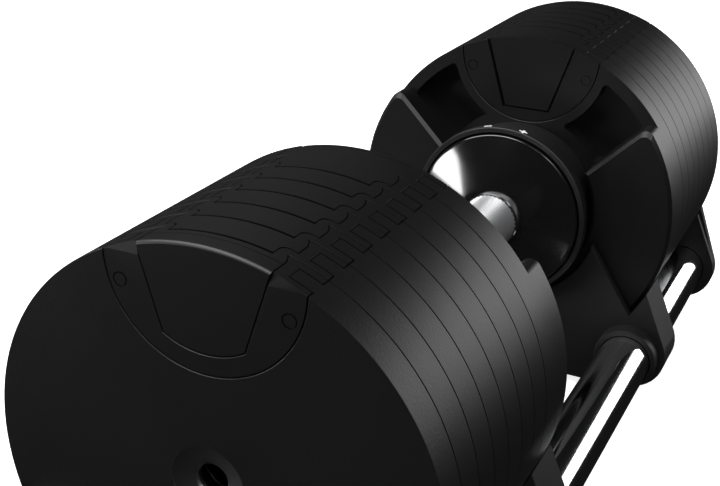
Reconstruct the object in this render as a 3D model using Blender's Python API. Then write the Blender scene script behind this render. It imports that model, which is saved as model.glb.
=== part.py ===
"""Adjustable dumbbell with seven loose plates a side, resting in its cradle.

Metres, +Z up. X runs along the handle, and the origin is on the ground under the middle of the grip.
Every piece of the right side is modelled once, outwards along +X. The left side is the same shape turned
half a turn about Z. Heights inside the shapes are measured from the dumbbell's axis.
"""

from math import asin, atan2, cos, hypot, pi, radians, sin, sqrt

import bmesh
import bpy

# Driving dimensions
PLATE_RADIUS = 0.0860
PLATE_PITCH = 0.0136  # one plate and the gap to the next
PLATES = 7  # loose plates on each side
GAP = 0.0003  # between pieces that touch or are clamped
HEAD_STEP = 0.0136  # how far the head's lower part stands out towards the grip

INSERT_RADIUS = 0.0374  # round joint line between steel and insert
INSERT_DROP = 0.0074  # its centre below the rim
WEB_RADIUS = 0.0297  # steel web held between the insert's flanges
WEB_DROP = 0.0108
FLANGE = 0.0038

SLOT_HALF_WIDTH = 0.0237  # at the height of the insert's centre
SLOT_TAPER = 0.32  # widening for each unit of height
SLOT_FLOOR_RADIUS = 0.0301
SLOT_OVERRUN = 0.0120  # of the slot's cutter above the rim
SLOT_UNDERCUT = 0.0017
UNDERCUT_DEPTH = 0.0054
BRIDGE_WALL = 0.0036  # joins the ears to the tongue
NOSE_INSET = 0.0057
NOSE_LENGTH = 0.0068
NOSE_ROUND = 0.0019
COVER_BACK = 0.0059  # inner face of the outermost plate's cover
HEAD_COVER_DEPTH = 0.0030
HEAD_COVER_FLOOR = 0.0345

SHAFT_RADIUS = 0.0096
FLAT_DEPTH = 0.0016  # of the flat milled along the shaft
RUNNING_GAP = 0.0006  # around the shaft in a plate
OUTER_BORE_DEPTH = 0.0082  # blind bore of the outermost plate
TIP_CLEARANCE = 0.0015  # left in that bore at full reach
TIP_SETBACK = 0.0005  # retracted tip behind the head's outer face
DISH_RADIUS = 0.0142
DISH_DEPTH = 0.0028
DISH_HOLE = 0.0058

GRIP_HALF = 0.0565
GRIP_WALL = 0.0020
TUBE_WALL = 0.0018  # cam tube
CAM_TURN = radians(336)  # twist from the lightest to the heaviest setting
FOLLOWER_RADIUS = 0.0016
FOLLOWER_START = 0.0090  # follower pin from the middle, retracted
FOLLOWER_BACKING = 0.0050  # shaft behind the pin
CAM_SLOT_PLAY = 0.0005
CAM_SLOT_MARGIN = 0.0102  # cam tube beyond the follower's last place
BUSHING_LENGTH = 0.0071  # from the cam tube's end to the head's outer face
BUSHING_WALL = 0.0015

BELL_RADIUS = 0.0427
BELL_DEPTH = 0.0154
BELL_LIP = 0.0006  # step from the grip up to the bell
BELL_PLAY = 0.0008
BELL_CURVE = 0.86  # 1 would be a straight cone
BELL_RIM = 0.0012  # its edge behind the ring's front
RING_LEAD = 0.0037  # ring's front before the bell's back
RING_WIDTH = 0.0053
RING_WALL = 0.0028
RING_OVERHANG = 0.0058  # outside the drum
DRUM_WALL = 0.0035
SLEEVE_WALL = 0.0128
RECESS_ROOM = 0.0042  # between the drum and the head's step
NOTCH_DROP = 0.0163  # the head's two shoulders would meet this far below the axis

POCKET_RIM = 0.0075  # left outside the head's pockets
POCKET_HUB = 0.0043  # left inside them
POCKET_RIB = 0.0030  # half the rib between them
POCKET_DEPTH = 0.0110
BOSS_WALL = 0.0065

BALL_RADIUS = 0.0021
DETENT_INSET = 0.0135  # ball before the head's face
WELL_ROOF = 0.0030  # over the ball's spring
SPRING_WIRE = 0.0003
SPRING_INSET = 0.0005  # coil inside the ball's width
LOCK_WIDTH = 0.0058
LOCK_DEPTH = 0.0094
LOCK_INSET = 0.0061  # behind the front of the head's step
LOCK_TUCK = 0.0007  # top inside the hub recess
LOCK_RIM = 0.0045  # bottom inside the rim
LOCK_CHANNEL = 0.0040  # channel above the hub recess

TUBE_RADIUS = 0.0135
TUBE_CLEARANCE = 0.0017  # between a plate's rim and a tube
TUBE_ANGLE = radians(43)  # tubes below the axis, from the horizontal
TUBE_RECESS = 0.0017  # tube's end inside the outer wall
COLLAR_WALL = 0.0029
COLLAR_LENGTH = 0.0090
CORNER_WALL = 0.0059  # of the walls, round each tube
INNER_WALL_LEAD = 0.0079  # inner wall before the head's step
WALL = 0.0050
SIDE_BLOCK_REACH = 0.0025  # past the head's face
END_WALL_GAP = 0.0010
END_BLOCK = 0.0043
SEAT_GAP = 0.0003
TRAY_FLOOR = 0.0042  # under the lowest point of a plate
TRAY_FLANGE = 0.0045
TRAY_INSET = 0.0040  # tray's side inside the tube's middle
HUB_NOTCH_ROOM = 0.0053  # inner wall's notch outside the hub recess
PLATE_NOTCH_DROP = 0.0220  # outer wall's notch inside the rim
HUB_NOTCH_TURN = 15  # degrees from the horizontal where each notch ends
PLATE_NOTCH_TURN = 22.8
INNER_SHOULDER = (0.0075, 0.0170)  # from the tube's middle
OUTER_SHOULDER = (0.0060, 0.0400)
FOOT_WIDTH = 0.0140
FOOT_HEIGHT = 0.0055
FOOT_LEAD = 0.0040
FOOT_REACH = 0.0010

RIM_SEGMENTS = 36
FINE_SEGMENTS = 20

# Places that follow from them, along the axis
SHAFT_TRAVEL = (PLATES - 1) * PLATE_PITCH + OUTER_BORE_DEPTH - TIP_CLEARANCE + TIP_SETBACK
CAM_TUBE_END = FOLLOWER_START + SHAFT_TRAVEL + CAM_SLOT_MARGIN
HEAD_OUTER = CAM_TUBE_END + BUSHING_LENGTH
HEAD_FACE = HEAD_OUTER - PLATE_PITCH
HEAD_FRONT = HEAD_FACE - HEAD_STEP
DUMBBELL_HALF = HEAD_OUTER + PLATES * PLATE_PITCH
SHAFT_TIP = HEAD_OUTER - TIP_SETBACK
BELL_FRONT = GRIP_HALF + GAP
BELL_BACK = BELL_FRONT + BELL_DEPTH
RING_FRONT = BELL_BACK - RING_LEAD
RING_BACK = RING_FRONT + RING_WIDTH
DETENT_X = HEAD_FACE - DETENT_INSET
LOCK_MIDDLE = HEAD_FRONT + LOCK_INSET
INNER_WALL = HEAD_FRONT - INNER_WALL_LEAD
COLLAR_FRONT = INNER_WALL - COLLAR_LENGTH
SIDE_BLOCK_END = HEAD_FACE + SIDE_BLOCK_REACH
END_WALL = DUMBBELL_HALF + END_WALL_GAP
TUBE_HALF = END_WALL + TUBE_RECESS

# And round it
INSERT_Z = PLATE_RADIUS - INSERT_DROP
WEB_Z = PLATE_RADIUS - WEB_DROP
SHAFT_FLAT = SHAFT_RADIUS - FLAT_DEPTH
PLATE_BORE = SHAFT_RADIUS + RUNNING_GAP
TUBE_INNER = SHAFT_RADIUS + GAP
TUBE_OUTER = TUBE_INNER + TUBE_WALL
GRIP_RADIUS = TUBE_OUTER + GAP + GRIP_WALL
BUSHING_SEAT = TUBE_OUTER + BUSHING_WALL
SLEEVE_RADIUS = TUBE_OUTER + SLEEVE_WALL
WELL_TOP = SLEEVE_RADIUS - WELL_ROOF
BELL_ROOM = BELL_RADIUS + BELL_PLAY
RING_RADIUS = BELL_ROOM + RING_WALL
DRUM_RADIUS = RING_RADIUS - RING_OVERHANG
HUB_RECESS = DRUM_RADIUS + RECESS_ROOM
POCKET_OUTER = PLATE_RADIUS - POCKET_RIM
POCKET_INNER = HUB_RECESS + POCKET_HUB
LOCK_TOP = HUB_RECESS - LOCK_TUCK
LOCK_BOTTOM = PLATE_RADIUS - LOCK_RIM
TUBE_Y = (PLATE_RADIUS + TUBE_CLEARANCE + TUBE_RADIUS) * cos(TUBE_ANGLE)
TUBE_DROP = (PLATE_RADIUS + TUBE_CLEARANCE + TUBE_RADIUS) * sin(TUBE_ANGLE)
COLLAR_RADIUS = TUBE_RADIUS + COLLAR_WALL
CORNER_RADIUS = TUBE_RADIUS + CORNER_WALL
SEAT = PLATE_RADIUS + SEAT_GAP
TRAY_BOTTOM = SEAT + TRAY_FLOOR
TRAY_HALF = TUBE_Y - TRAY_INSET
FOOT_Y = TRAY_HALF - FOOT_WIDTH
AXIS_HEIGHT = TRAY_BOTTOM + FOOT_HEIGHT
OPEN = 0.001  # how far a cutter passes through a face


def clear_scene():
    for thing in list(bpy.data.objects):
        bpy.data.objects.remove(thing, do_unlink=True)


def material(name, colour, roughness, metallic):
    made = bpy.data.materials.new(name)
    made.use_nodes = True
    shader = made.node_tree.nodes["Principled BSDF"]
    shader.inputs["Base Color"].default_value = (*colour, 1.0)
    shader.inputs["Roughness"].default_value = roughness
    shader.inputs["Metallic"].default_value = metallic
    return made


def circle(radius, segments, y=0.0, z=0.0):
    step = 2 * pi / segments
    angles = [(i + 0.5) * step for i in range(segments)]
    return [(y + radius * cos(a), z + radius * sin(a)) for a in angles]


def arc(radius, start, end, segments, y=0.0, z=0.0):
    """Points from start to end, in degrees from +Y towards +Z, with both ends."""
    angles = [radians(start + (end - start) * i / segments) for i in range(segments + 1)]
    return [(y + radius * cos(a), z + radius * sin(a)) for a in angles]


def finish(shape, name):
    bmesh.ops.recalc_face_normals(shape, faces=shape.faces)
    mesh = bpy.data.meshes.new(name)
    shape.to_mesh(mesh)
    shape.free()
    return mesh


def stack(name, rings):
    """A closed solid through outlines of equal length, each (x, [(y, z), ...])."""
    shape = bmesh.new()
    loops = [[shape.verts.new((x, y, z)) for y, z in outline] for x, outline in rings]
    for below, above in zip(loops, loops[1:]):
        for i in range(len(below)):
            j = (i + 1) % len(below)
            shape.faces.new((below[i], below[j], above[j], above[i]))
    shape.faces.new(loops[0])
    shape.faces.new(loops[-1])
    return finish(shape, name)


def prism(name, low, high, outline):
    return stack(name, [(low, outline), (high, outline)])


def turned(name, profile, segments):
    """A ring turned about X from a closed profile of (x, radius)."""
    shape = bmesh.new()
    step = 2 * pi / segments
    loops = [
        [shape.verts.new((x, r * cos((i + 0.5) * step), r * sin((i + 0.5) * step))) for i in range(segments)]
        for x, r in profile
    ]
    for first, second in zip(loops, loops[1:] + loops[:1]):
        for i in range(segments):
            j = (i + 1) % segments
            shape.faces.new((first[i], first[j], second[j], second[i]))
    return finish(shape, name)


def box(name, low, high):
    outline = [(low[1], low[2]), (high[1], low[2]), (high[1], high[2]), (low[1], high[2])]
    return prism(name, low[0], high[0], outline)


def post(name, radius, low, high, x, y=0.0, segments=12):
    """An upright cylinder."""
    shape = bmesh.new()
    step = 2 * pi / segments
    outline = [(x + radius * cos(i * step), y + radius * sin(i * step)) for i in range(segments)]
    rings = [[shape.verts.new((*point, z)) for point in outline] for z in (low, high)]
    for i in range(segments):
        j = (i + 1) % segments
        shape.faces.new((rings[0][i], rings[0][j], rings[1][j], rings[1][i]))
    shape.faces.new(rings[0])
    shape.faces.new(rings[1])
    return finish(shape, name)


def combined(base, *steps):
    """The mesh of base after each (operation, mesh), with Blender's exact Boolean."""
    scene = bpy.context.scene.collection
    target = bpy.data.objects.new("working", base)
    scene.objects.link(target)
    helpers = []
    for operation, mesh in steps:
        helper = bpy.data.objects.new("cutter", mesh)
        helper.hide_render = True
        helper.display_type = "WIRE"
        scene.objects.link(helper)
        helpers.append(helper)
        modifier = target.modifiers.new(operation, "BOOLEAN")
        modifier.operation = operation
        modifier.solver = "EXACT"
        modifier.object = helper
    graph = bpy.context.evaluated_depsgraph_get()
    result = bpy.data.meshes.new_from_object(target.evaluated_get(graph))
    for thing in [target, *helpers]:
        bpy.data.objects.remove(thing, do_unlink=True)
    return result


def empty(name, location, parent=None):
    made = bpy.data.objects.new(name, None)
    made.location = location
    made.parent = parent
    made.empty_display_size = 0.03
    bpy.context.scene.collection.objects.link(made)
    return made


def piece(name, mesh, finish_material, parent, x=0.0, left=False):
    """One sub-part. A left one is turned half a turn about Z."""
    made = bpy.data.objects.new(name, mesh)
    if not mesh.materials:
        mesh.materials.append(finish_material)
        mesh.shade_smooth()
        mesh.set_sharp_from_angle(angle=radians(32))
    made.parent = parent
    made.location.x = -x if left else x
    made.rotation_euler.z = pi if left else 0.0
    bpy.context.scene.collection.objects.link(made)
    return made


def both_sides(name, mesh, finish_material, parent, x=0.0):
    piece(name + "_right", mesh, finish_material, parent, x)
    piece(name + "_left", mesh, finish_material, parent, x, left=True)


# Slot and tongue: one tapered outline, open at the top, moved inwards by an inset
def slot_outline(inset, floor_radius=SLOT_FLOOR_RADIUS, segments=4):
    half = SLOT_HALF_WIDTH - inset * sqrt(1 + SLOT_TAPER**2)
    floor = floor_radius - inset
    square = 1 + SLOT_TAPER**2
    corner = (-SLOT_TAPER * half - sqrt((SLOT_TAPER * half) ** 2 - square * (half**2 - floor**2))) / square
    spread = atan2(half + SLOT_TAPER * corner, -corner)
    turns = [spread * (1 - 2 * i / segments) for i in range(segments + 1)]
    rounded = [(floor * sin(turn), INSERT_Z - floor * cos(turn)) for turn in turns]
    top = INSERT_DROP + SLOT_OVERRUN
    width = half + SLOT_TAPER * top
    return [(width, INSERT_Z + top), *rounded, (-width, INSERT_Z + top)]


def dovetail(start, root, clearance, shoulder):
    """Rings of the dovetail from its narrow root to where its nose starts."""
    return [
        (start, slot_outline(SLOT_UNDERCUT + clearance)),
        (root, slot_outline(SLOT_UNDERCUT + clearance)),
        (root + UNDERCUT_DEPTH, slot_outline(clearance)),
        (shoulder, slot_outline(clearance)),
    ]


def nose(shoulder, clearance):
    """Rings of the narrower nose beyond the dovetail, with a rounded root."""
    return [
        (shoulder, slot_outline(NOSE_INSET - NOSE_ROUND + clearance)),
        (shoulder + NOSE_ROUND * 1.5, slot_outline(NOSE_INSET + clearance)),
        (shoulder + NOSE_LENGTH, slot_outline(NOSE_INSET + clearance)),
    ]


def stepped(low, high, flange_ends, grow):
    """The insert's round outline: wide, narrow where the steel web is, wide again."""
    wide = circle(INSERT_RADIUS + grow, FINE_SEGMENTS, z=INSERT_Z)
    narrow = circle(WEB_RADIUS + grow, FINE_SEGMENTS, z=WEB_Z)
    first, last = flange_ends
    return [(low, wide), (first, wide), (first, narrow), (last, narrow), (last, wide), (high, wide)]


def plate_steel(outermost):
    thick = PLATE_PITCH - GAP
    disc = prism("plate", 0.0, thick, circle(PLATE_RADIUS, RIM_SEGMENTS))
    opening = stack("opening", stepped(-OPEN, PLATE_PITCH + OPEN, (FLANGE, PLATE_PITCH - FLANGE), 0.0))
    bore = circle(PLATE_BORE, FINE_SEGMENTS)
    if outermost:
        hole = circle(DISH_HOLE, FINE_SEGMENTS)
        rings = [(-OPEN, bore), (OUTER_BORE_DEPTH, bore)]
        rings += [(OUTER_BORE_DEPTH, hole), (thick - DISH_DEPTH, hole)]
        slope = (DISH_RADIUS - DISH_HOLE) / DISH_DEPTH
        rings.append((thick + OPEN, circle(DISH_RADIUS + slope * OPEN, FINE_SEGMENTS)))
    else:
        rings = [(-OPEN, bore), (PLATE_PITCH + OPEN, bore)]
    return combined(disc, ("DIFFERENCE", opening), ("DIFFERENCE", stack("bore", rings)))


def plate_insert(kind):
    """kind is outermost, second, plain or head: what the slot opens into and how far the tongue reaches."""
    thick = PLATE_PITCH - GAP
    pocket = PLATE_PITCH - BRIDGE_WALL
    body = stack("insert", stepped(0.0, thick, (FLANGE - GAP, PLATE_PITCH - FLANGE + GAP), -GAP))
    steps = []
    if kind != "outermost":
        root = PLATE_PITCH
        if kind == "second":
            tongue = dovetail(root - BRIDGE_WALL / 2, root, GAP, root + COVER_BACK - GAP)
        else:
            shoulder = root + pocket - GAP
            tongue = dovetail(root - BRIDGE_WALL / 2, root, GAP, shoulder) + nose(shoulder, GAP)
        steps.append(("UNION", stack("tongue", tongue)))
    if kind == "outermost":
        slot = dovetail(-OPEN, 0.0, 0.0, PLATE_PITCH + OPEN)
    elif kind == "head":
        flat = slot_outline(SLOT_UNDERCUT, HEAD_COVER_FLOOR, 1)
        slot = [(-OPEN, flat), (HEAD_COVER_DEPTH, flat)]
    else:
        slot = dovetail(-OPEN, 0.0, 0.0, pocket) + nose(pocket, 0.0)
    steps.append(("DIFFERENCE", stack("slot", slot)))
    rim = circle(PLATE_RADIUS, RIM_SEGMENTS)
    steps.append(("INTERSECT", prism("rim", -OPEN, 3 * PLATE_PITCH, rim)))
    return combined(body, *steps)


def outer_cover():
    outline = slot_outline(GAP)
    block = prism("cover", COVER_BACK, PLATE_PITCH - GAP, outline)
    rim = prism("rim", 0.0, 2 * PLATE_PITCH, circle(PLATE_RADIUS, RIM_SEGMENTS))
    return combined(block, ("INTERSECT", rim))


def head_cover():
    outline = slot_outline(SLOT_UNDERCUT + GAP, HEAD_COVER_FLOOR, 1)
    block = prism("cover", HEAD_COVER_DEPTH / 4, HEAD_COVER_DEPTH - GAP, outline)
    rim = prism("rim", -OPEN, PLATE_PITCH, circle(PLATE_RADIUS, RIM_SEGMENTS))
    return combined(block, ("INTERSECT", rim))


def pocket_outline():
    """Between two arcs about the axis, the wall round the insert and the head's shoulder. The +Y one."""
    boss = INSERT_RADIUS + BOSS_WALL

    def on_boss(radius):
        z = min((radius**2 - boss**2 + INSERT_Z**2) / (2 * INSERT_Z), sqrt(radius**2 - POCKET_RIB**2))
        return sqrt(radius**2 - z**2), z

    def on_shoulder(radius):
        drop = NOTCH_DROP - GAP
        y = (drop + sqrt(2 * radius**2 - drop**2)) / 2
        return y, y - drop

    def degrees_of(point):
        return atan2(point[1], point[0]) * 180 / pi

    top, bottom = on_boss(POCKET_OUTER), on_boss(POCKET_INNER)
    start = atan2(top[1] - INSERT_Z, top[0]) * 180 / pi
    end = atan2(bottom[1] - INSERT_Z, bottom[0]) * 180 / pi
    outer = arc(POCKET_OUTER, degrees_of(on_shoulder(POCKET_OUTER)), degrees_of(top), 4)
    round_insert = arc(boss, start, end, 5, z=INSERT_Z)[1:]
    inner = arc(POCKET_INNER, degrees_of(bottom), degrees_of(on_shoulder(POCKET_INNER)), 3)[1:]
    return outer + round_insert + inner


def head_casting():
    face, front = HEAD_FACE, HEAD_FRONT
    back = HEAD_OUTER - GAP
    disc = prism("head", front, back, circle(PLATE_RADIUS, RIM_SEGMENTS))
    reach = 2 * PLATE_RADIUS
    notch = [(0.0, -NOTCH_DROP), (reach, reach - NOTCH_DROP), (-reach, reach - NOTCH_DROP)]
    pocket = pocket_outline()
    other_pocket = [(-y, z) for y, z in reversed(pocket)]
    opening = stepped(face - OPEN, HEAD_OUTER + OPEN, (face + FLANGE, HEAD_OUTER - FLANGE), 0.0)
    bore = [
        (front - OPEN, circle(TUBE_OUTER + 2 * GAP, FINE_SEGMENTS)),
        (CAM_TUBE_END + GAP, circle(TUBE_OUTER + 2 * GAP, FINE_SEGMENTS)),
        (CAM_TUBE_END + GAP, circle(BUSHING_SEAT, FINE_SEGMENTS)),
        (back + OPEN, circle(BUSHING_SEAT, FINE_SEGMENTS)),
    ]
    half = LOCK_WIDTH / 2 + GAP
    channel_low = (LOCK_MIDDLE - half, -LOCK_DEPTH / 2 - GAP, -PLATE_RADIUS - OPEN)
    channel_high = (LOCK_MIDDLE + half, LOCK_DEPTH / 2 + GAP, -HUB_RECESS + LOCK_CHANNEL)
    return combined(
        disc,
        ("DIFFERENCE", prism("notch", front - OPEN, face, notch)),
        ("DIFFERENCE", prism("recess", front - OPEN, face, circle(HUB_RECESS, FINE_SEGMENTS))),
        ("DIFFERENCE", stack("opening", opening)),
        ("DIFFERENCE", prism("pocket", face - OPEN, face + POCKET_DEPTH, pocket)),
        ("DIFFERENCE", prism("pocket", face - OPEN, face + POCKET_DEPTH, other_pocket)),
        ("DIFFERENCE", stack("bore", bore)),
        ("DIFFERENCE", box("channel", channel_low, channel_high)),
    )


def d_section(radius, flat, segments=FINE_SEGMENTS):
    """A round outline with a flat across its top."""
    reach = asin(flat / radius) * 180 / pi
    return arc(radius, 180 - reach, 360 + reach, segments)


def shaft():
    bar = prism("shaft", FOLLOWER_START - FOLLOWER_BACKING, SHAFT_TIP, d_section(SHAFT_RADIUS, SHAFT_FLAT))
    hole = post("hole", FOLLOWER_RADIUS + GAP, -SHAFT_RADIUS * 2, -SHAFT_RADIUS / 2, FOLLOWER_START)
    return combined(bar, ("DIFFERENCE", hole))


def follower():
    return post("follower", FOLLOWER_RADIUS, -TUBE_OUTER + GAP, -SHAFT_RADIUS / 2 - GAP, FOLLOWER_START)


def bushing():
    outside = circle(BUSHING_SEAT - GAP, FINE_SEGMENTS)
    ring = prism("bushing", CAM_TUBE_END + 3 * GAP, HEAD_OUTER - 2 * GAP, outside)
    key = d_section(SHAFT_RADIUS + GAP, SHAFT_FLAT + GAP)
    hole = prism("hole", CAM_TUBE_END - OPEN, HEAD_OUTER + OPEN, key)
    return combined(ring, ("DIFFERENCE", hole))


def cam_slot(side):
    """A helical cutter. The tube's twist draws the follower, at the bottom, from the middle outwards."""
    steps = 18
    mean = (TUBE_INNER + TUBE_OUTER) / 2
    half = FOLLOWER_RADIUS + CAM_SLOT_PLAY
    around, along = mean * CAM_TURN, SHAFT_TRAVEL
    length = hypot(around, along)
    spare = half / length
    inside, outside = TUBE_INNER - 2 * OPEN, TUBE_OUTER + 2 * OPEN
    section = [(-half, inside), (half, inside), (half, outside), (-half, outside)]
    shape = bmesh.new()
    rings = []
    for i in range(steps + 1):
        t = -spare + (1 + 2 * spare) * i / steps
        ring = []
        for across, radius in section:
            x = side * (FOLLOWER_START + along * t + across * around / length)
            angle = -pi / 2 - CAM_TURN * t + across * along / length / mean
            ring.append(shape.verts.new((x, radius * cos(angle), radius * sin(angle))))
        rings.append(ring)
    for first, second in zip(rings, rings[1:]):
        for i in range(4):
            j = (i + 1) % 4
            shape.faces.new((first[i], first[j], second[j], second[i]))
    shape.faces.new(rings[0])
    shape.faces.new(rings[-1])
    return finish(shape, "cam_slot")


def cam_tube():
    end = CAM_TUBE_END
    profile = [(-end, TUBE_INNER), (-end, TUBE_OUTER), (end, TUBE_OUTER), (end, TUBE_INNER)]
    tube = turned("cam_tube", profile, FINE_SEGMENTS)
    return combined(tube, ("DIFFERENCE", cam_slot(1)), ("DIFFERENCE", cam_slot(-1)))


def grip():
    inner = TUBE_OUTER + GAP
    profile = [(-GRIP_HALF, inner), (-GRIP_HALF, GRIP_RADIUS), (GRIP_HALF, GRIP_RADIUS), (GRIP_HALF, inner)]
    return turned("grip", profile, FINE_SEGMENTS)


def bell():
    """Flares from the grip to the ring with the weight marks."""
    inner = TUBE_OUTER + GAP
    depth = RING_FRONT + BELL_RIM - BELL_FRONT
    neck = GRIP_RADIUS + BELL_LIP
    flare = [
        (BELL_FRONT + depth * t, neck + (BELL_RADIUS - neck) * t**BELL_CURVE)
        for t in (0.0, 0.12, 0.3, 0.6, 1.0)
    ]
    profile = [(BELL_FRONT, inner), *flare, (BELL_BACK, BELL_RADIUS), (BELL_BACK, inner)]
    return turned("bell", profile, FINE_SEGMENTS)


def hub_housing(detent):
    floor = BELL_BACK + BELL_PLAY
    hole = TUBE_OUTER + 2 * GAP
    back = HEAD_FACE - GAP
    cavity = floor + DRUM_WALL
    profile = [
        (RING_FRONT, BELL_ROOM),
        (RING_FRONT, RING_RADIUS),
        (RING_BACK, RING_RADIUS),
        (RING_BACK, DRUM_RADIUS),
        (back, DRUM_RADIUS),
        (back, DRUM_RADIUS - DRUM_WALL),
        (cavity, DRUM_RADIUS - DRUM_WALL),
        (cavity, SLEEVE_RADIUS),
        (back, SLEEVE_RADIUS),
        (back, hole),
        (floor, hole),
        (floor, BELL_ROOM),
    ]
    housing = turned("hub_housing", profile, FINE_SEGMENTS)
    if not detent:
        return housing
    well = post("well", BALL_RADIUS + GAP, TUBE_INNER, WELL_TOP, DETENT_X)
    return combined(housing, ("DIFFERENCE", well))


def ball():
    shape = bmesh.new()
    bmesh.ops.create_uvsphere(shape, u_segments=12, v_segments=8, radius=BALL_RADIUS)
    bmesh.ops.translate(shape, vec=(DETENT_X, 0, TUBE_OUTER + GAP + BALL_RADIUS), verts=shape.verts)
    return finish(shape, "detent_ball")


def coil_spring(low, high, radius, wire, turns, x):
    """A round wire wound about an upright axis, sides by a ring of points at each step."""
    per_turn, around = 9, 4
    low, high = low + wire, high - wire
    shape = bmesh.new()
    rings = []
    for i in range(per_turn * turns + 1):
        t = i / (per_turn * turns)
        angle = 2 * pi * turns * t
        height = low + (high - low) * t
        ring = []
        for k in range(around):
            swing = 2 * pi * k / around
            reach = radius + wire * cos(swing)
            point = (x + reach * cos(angle), reach * sin(angle), height + wire * sin(swing))
            ring.append(shape.verts.new(point))
        rings.append(ring)
    for first, second in zip(rings, rings[1:]):
        for k in range(around):
            m = (k + 1) % around
            shape.faces.new((first[k], first[m], second[m], second[k]))
    shape.faces.new(rings[0])
    shape.faces.new(rings[-1])
    return finish(shape, "spring")


def lock_slider():
    low = (LOCK_MIDDLE - LOCK_WIDTH / 2, -LOCK_DEPTH / 2, -LOCK_BOTTOM)
    high = (LOCK_MIDDLE + LOCK_WIDTH / 2, LOCK_DEPTH / 2, -LOCK_TOP)
    return box("lock_slider", low, high)


def wall_outline(notch, turn, shoulder):
    """A cradle wall: a round notch, sloping shoulders and a rounded corner round each tube."""
    half = arc(notch, -90, -turn, 6)
    half.append((TUBE_Y + shoulder[0], shoulder[1] - TUBE_DROP))
    half += arc(CORNER_RADIUS, 20, -60, 4, TUBE_Y, -TUBE_DROP)
    half.append((TUBE_Y, -TRAY_BOTTOM))
    return half + [(-y, z) for y, z in reversed(half[1:])]


def saddle():
    end = END_WALL + WALL
    flange = TRAY_FLANGE - TRAY_BOTTOM
    tray = [(TRAY_HALF, -TRAY_BOTTOM), (TRAY_HALF, flange), (SEAT * 0.6, flange)]
    tray = tray + arc(SEAT, -55, -125, 12) + [(-y, z) for y, z in reversed(tray)]
    side = arc(SEAT + GAP, -23, -52, 5)
    side += [(SEAT * 0.55, -TRAY_BOTTOM), (TUBE_Y, -TRAY_BOTTOM)]
    side += arc(CORNER_RADIUS, -60, 20, 4, TUBE_Y, -TUBE_DROP)
    other_side = [(-y, z) for y, z in reversed(side)]
    inner_wall = wall_outline(HUB_RECESS + HUB_NOTCH_ROOM, HUB_NOTCH_TURN, INNER_SHOULDER)
    outer_wall = wall_outline(PLATE_RADIUS - PLATE_NOTCH_DROP, PLATE_NOTCH_TURN, OUTER_SHOULDER)
    holes, collars = [], []
    for y in (TUBE_Y, -TUBE_Y):
        collar = circle(COLLAR_RADIUS, FINE_SEGMENTS, y, -TUBE_DROP)
        collars.append(("UNION", prism("collar", COLLAR_FRONT, INNER_WALL + OPEN, collar)))
        hole = circle(TUBE_RADIUS + GAP, FINE_SEGMENTS, y, -TUBE_DROP)
        holes.append(("DIFFERENCE", prism("hole", COLLAR_FRONT - OPEN, TUBE_HALF + GAP, hole)))
    half = LOCK_WIDTH / 2 - GAP
    post_low = (LOCK_MIDDLE - half, -LOCK_DEPTH / 2 + GAP, -TRAY_BOTTOM + OPEN)
    post_high = (LOCK_MIDDLE + half, LOCK_DEPTH / 2 - GAP, -LOCK_BOTTOM - GAP)
    return combined(
        prism("tray", INNER_WALL, end, tray),
        ("UNION", prism("side", INNER_WALL, SIDE_BLOCK_END, side)),
        ("UNION", prism("side", INNER_WALL, SIDE_BLOCK_END, other_side)),
        ("UNION", prism("end", END_WALL - END_BLOCK, END_WALL + OPEN, side)),
        ("UNION", prism("end", END_WALL - END_BLOCK, END_WALL + OPEN, other_side)),
        ("UNION", prism("wall", INNER_WALL, INNER_WALL + WALL, inner_wall)),
        ("UNION", prism("wall", END_WALL, end, outer_wall)),
        *collars,
        ("UNION", box("post", post_low, post_high)),
        *holes,
    )


def cradle_tube(y):
    return prism("cradle_tube", -TUBE_HALF, TUBE_HALF, circle(TUBE_RADIUS, FINE_SEGMENTS, y, -TUBE_DROP))


def foot(y):
    low = (INNER_WALL + FOOT_LEAD, y - FOOT_WIDTH / 2, -AXIS_HEIGHT)
    high = (END_WALL + FOOT_REACH, y + FOOT_WIDTH / 2, -TRAY_BOTTOM - GAP)
    return box("foot", low, high)


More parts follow.
